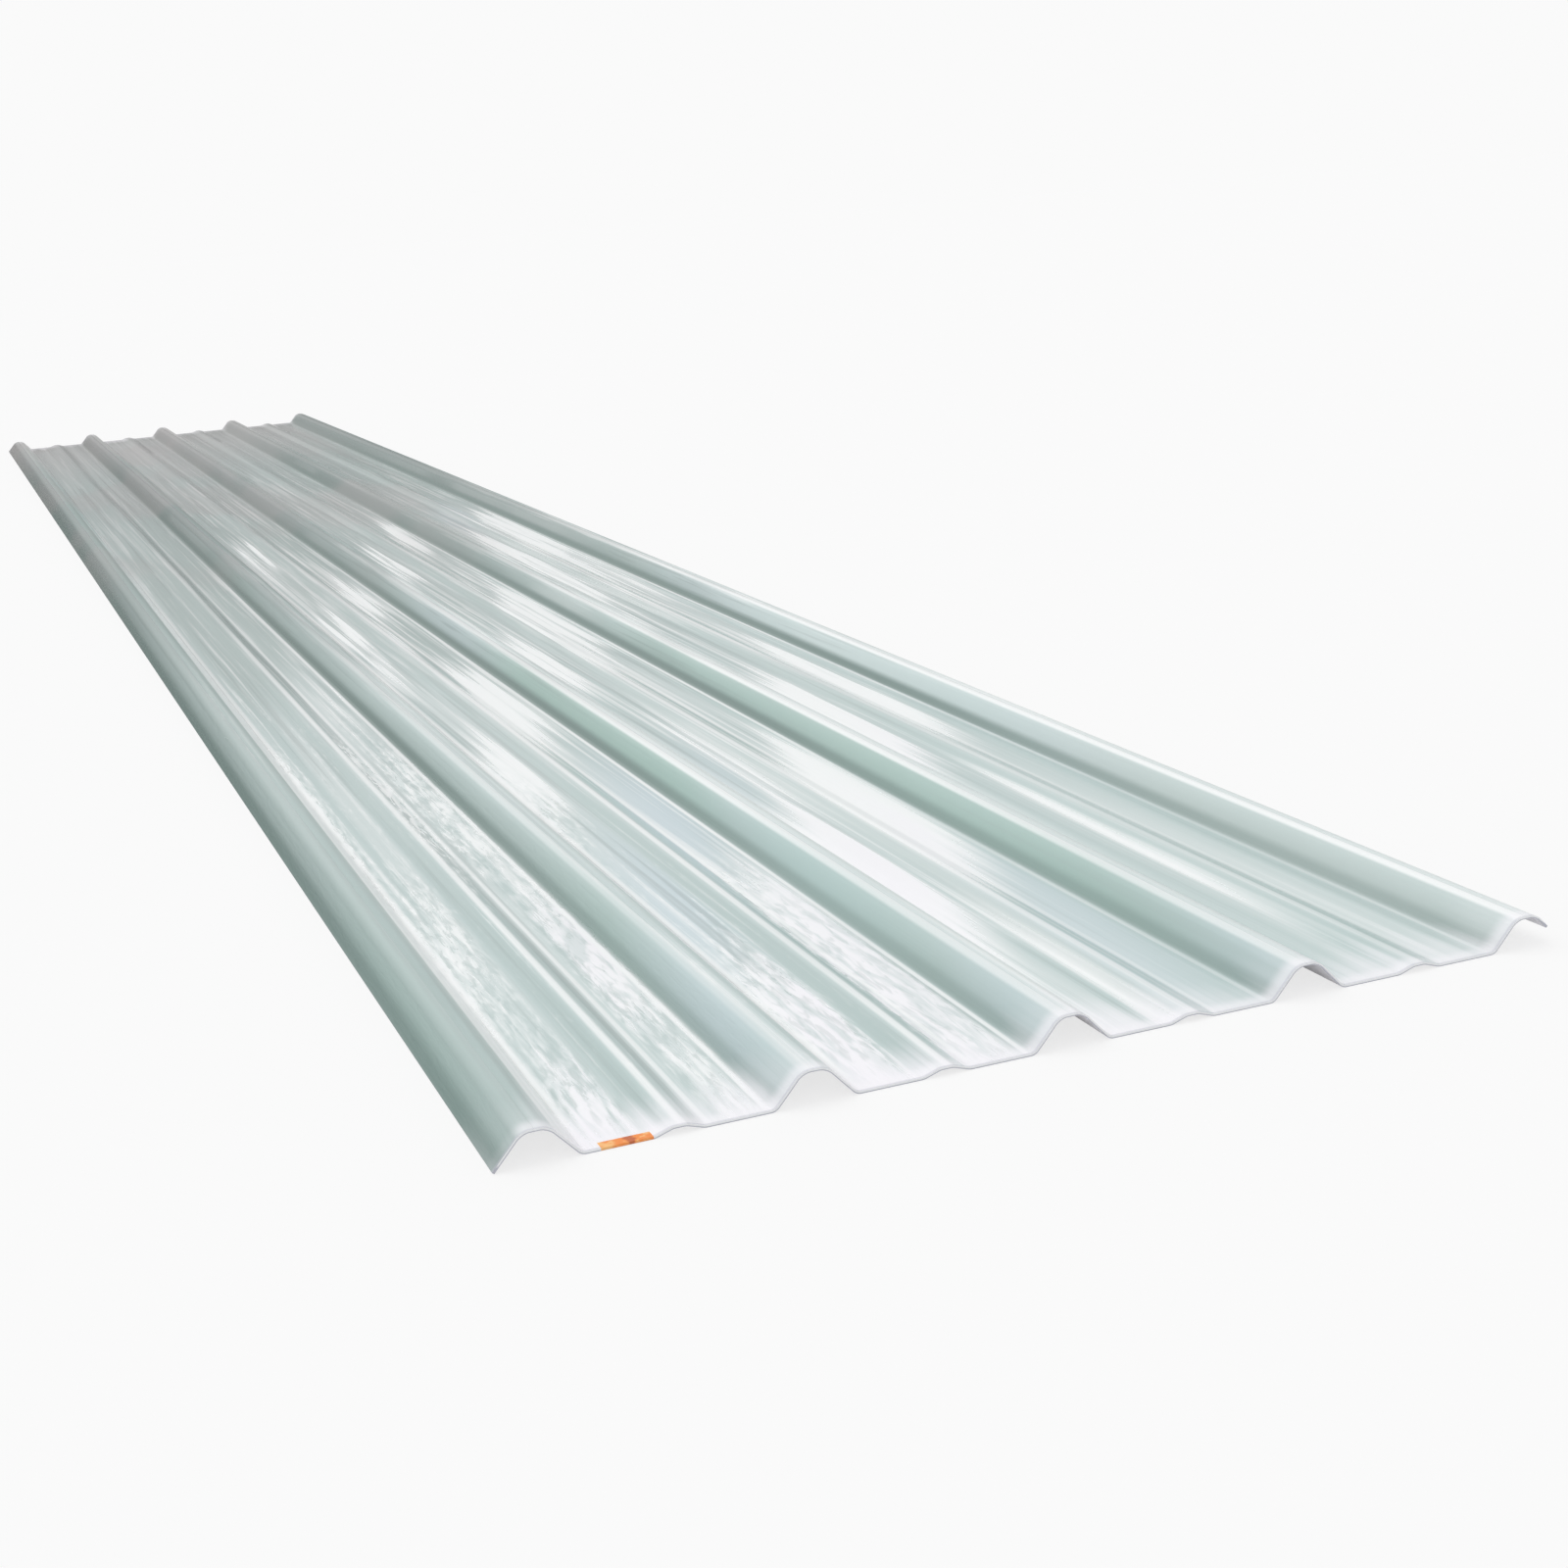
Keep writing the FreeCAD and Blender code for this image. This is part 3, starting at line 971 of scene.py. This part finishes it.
def floor_material(stage):
    """A plain pale floor that looks like the background and keeps the object's shadow."""
    material = bpy.data.materials.new("pale_floor")
    material.use_nodes = True
    tree = material.node_tree
    tree.nodes.clear()
    output = tree.nodes.new("ShaderNodeOutputMaterial")
    matt = tree.nodes.new("ShaderNodeBsdfDiffuse")
    matt.inputs["Color"].default_value = (*stage.floor, 1.0)
    faint = tree.nodes.new("ShaderNodeBsdfDiffuse")
    faint.inputs["Color"].default_value = (*(value * SHADOW_SHARE for value in stage.floor), 1.0)
    glow = tree.nodes.new("ShaderNodeEmission")
    glow.inputs["Strength"].default_value = stage.background - SHADOW_SHARE * FLOOR_LIT
    seen = tree.nodes.new("ShaderNodeAddShader")
    tree.links.new(faint.outputs[0], seen.inputs[0])
    tree.links.new(glow.outputs[0], seen.inputs[1])
    mix = tree.nodes.new("ShaderNodeMixShader")
    sees_background = NodeMaker(tree).rays("Camera", "Glossy", "Transmission")
    tree.links.new(sees_background, mix.inputs[0])
    tree.links.new(matt.outputs[0], mix.inputs[1])
    tree.links.new(seen.outputs[0], mix.inputs[2])
    tree.links.new(mix.outputs[0], output.inputs["Surface"])
    return material


# The pieces

class ROOFSHEET_OT_laminate(bpy.types.Operator):
    """Models the sheet's wall and gives it its laminate finish"""

    bl_idname = "roofsheet.laminate"
    bl_label = "Laminate sheet"

    def execute(self, context):
        sizes = context.scene.sheet_sizes
        corners = section_corners(sizes)
        piece = middle_surface(sizes, corners, STICKER_PAPER + CLEARANCE)
        divide(piece)
        wave_weights(piece, sizes, corners)
        add_waves(piece, "pan_waves", "Z", sizes.pan_wave, still=0.0, across=0.11, along=0.55)
        add_waves(piece, "crest_waves", "Z", -sizes.crest_wave, still=0.0, across=0.05, along=0.40)
        add_waves(piece, "flank_waves", "NORMAL", sizes.flank_wave, still=0.5, across=0.05, along=0.45)
        give_wall(piece, sizes)
        paint_sheet(piece)
        piece.data.materials.append(laminate_material(sizes, context.scene.sheet_colours))
        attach(piece, "root")
        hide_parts("roof_sheet")
        return {"FINISHED"}


class ROOFSHEET_OT_sticker(bpy.types.Operator):
    """Models the plain sticker that is folded over the near edge of the first pan"""

    bl_idname = "roofsheet.sticker"
    bl_label = "Edge sticker"

    def execute(self, context):
        wall = context.scene.sheet_sizes.wall
        near_end = SHEET_LOW.y + STICKER_PAPER + CLEARANCE
        piece = laid_plane(
            "edge_sticker",
            place=(STICKER_CENTRE, near_end + STICKER_REACH / 2, wall + STICKER_PAPER),
            size=(STICKER_WIDTH, STICKER_REACH),
        )
        edit()
        select_edges(piece, lambda a, b: max(a.y, b.y) < near_end + SAME_POINT)
        extrude(0.0, -STICKER_PAPER, -STICKER_PAPER)
        extrude(0.0, 0.0, STICKER_GAP - wall)
        bpy.ops.mesh.select_all(action="SELECT")
        bpy.ops.mesh.subdivide(number_cuts=3)
        bpy.ops.mesh.normals_make_consistent(inside=False)
        leave_edit()
        modify(piece, "paper", "SOLIDIFY", thickness=STICKER_PAPER * PAPER_FILL, offset=-1.0)
        piece.data.materials.append(paper_material(context.scene.sheet_colours))
        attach(piece, "root")
        return {"FINISHED"}


# The stage

class ROOFSHEET_OT_stage(bpy.types.Operator):
    """Sets up the floor, the background, the lamp and the camera"""

    bl_idname = "roofsheet.stage"
    bl_label = "Stage"

    def execute(self, context):
        scene = context.scene
        stage = scene.sheet_stage
        add_floor(stage)
        add_world(scene, stage)
        add_lamp(scene, stage)
        add_camera(scene, stage)
        scene.view_settings.view_transform = "Standard"
        return {"FINISHED"}


def add_floor(stage):
    floor = laid_plane("floor", place=(0.0, 0.0, -FLOOR_GAP), size=(FLOOR_WIDTH, FLOOR_WIDTH))
    floor.data.materials.append(floor_material(stage))


def add_world(scene, stage):
    """Even light from all round. Mirrored rays see it bright above and greyer at the horizon."""
    world = bpy.data.worlds.new("studio")
    world.use_nodes = True
    scene.world = world
    tree = world.node_tree
    tree.nodes.clear()
    maker = NodeMaker(tree)
    direction = tree.nodes.new("ShaderNodeTexCoord")
    _, _, up = maker.split(direction.outputs["Generated"])
    height = maker.maths("DIVIDE", up, HORIZON_HEIGHT, clamp=True)
    mirrored = maker.times(maker.maths("POWER", height, HORIZON_CURVE), HORIZON_GAIN)
    mirrored = maker.maths("ADD", mirrored, HORIZON_LIGHT)
    room = maker.mixed(maker.rays("Glossy", "Transmission"), stage.room_light, mirrored)
    strength = maker.mixed(maker.rays("Camera"), room, stage.background)
    light = tree.nodes.new("ShaderNodeBackground")
    light.inputs["Color"].default_value = (1.0, 1.0, 1.0, 1.0)
    tree.links.new(strength, light.inputs["Strength"])
    output = tree.nodes.new("ShaderNodeOutputWorld")
    tree.links.new(light.outputs[0], output.inputs["Surface"])


def add_lamp(scene, stage):
    """One very soft lamp, high on the left, that lights the whole floor alike."""
    lamp = bpy.data.lights.new("soft_lamp", "SUN")
    lamp.energy = stage.lamp_strength
    lamp.angle = LAMP_SPREAD
    holder = bpy.data.objects.new("soft_lamp", lamp)
    holder.rotation_euler = LAMP_TURN
    scene.collection.objects.link(holder)


def add_camera(scene, stage):
    camera = bpy.data.cameras.new("camera")
    camera.lens = stage.lens
    camera.sensor_width = SENSOR_WIDTH
    camera.clip_end = VIEW_DISTANCE
    holder = bpy.data.objects.new("camera", camera)
    holder.location = stage.camera_place
    holder.rotation_euler = stage.camera_turn
    scene.collection.objects.link(holder)
    scene.camera = holder


# The add-on

class ROOFSHEET_PT_panel(bpy.types.Panel):
    """Sizes, colours and steps of the roof sheet"""

    bl_idname = "ROOFSHEET_PT_panel"
    bl_label = "Roof Sheet"
    bl_space_type = "VIEW_3D"
    bl_region_type = "UI"
    bl_category = "Roof Sheet"

    def draw(self, context):
        for name, group in SETTINGS:
            box = self.layout.box()
            box.label(text=name.replace("_", " ").capitalize())
            for setting in group.__annotations__:
                box.prop(getattr(context.scene, name), setting)
        for operator in OPERATORS:
            self.layout.operator(operator.bl_idname)


OPERATORS = (ROOFSHEET_OT_laminate, ROOFSHEET_OT_sticker, ROOFSHEET_OT_stage)
SETTINGS = (("sheet_sizes", SheetSizes), ("sheet_colours", SheetColours), ("sheet_stage", StageSettings))


def register():
    for name, group in SETTINGS:
        bpy.utils.register_class(group)
        setattr(bpy.types.Scene, name, PointerProperty(type=group))
    for operator in OPERATORS:
        bpy.utils.register_class(operator)
    bpy.utils.register_class(ROOFSHEET_PT_panel)


def unregister():
    bpy.utils.unregister_class(ROOFSHEET_PT_panel)
    for operator in reversed(OPERATORS):
        bpy.utils.unregister_class(operator)
    for name, group in reversed(SETTINGS):
        delattr(bpy.types.Scene, name)
        bpy.utils.unregister_class(group)


def main():
    register()
    bpy.ops.roofsheet.laminate()
    bpy.ops.roofsheet.sticker()
    bpy.ops.roofsheet.stage()


if __name__ == "__main__":
    main()
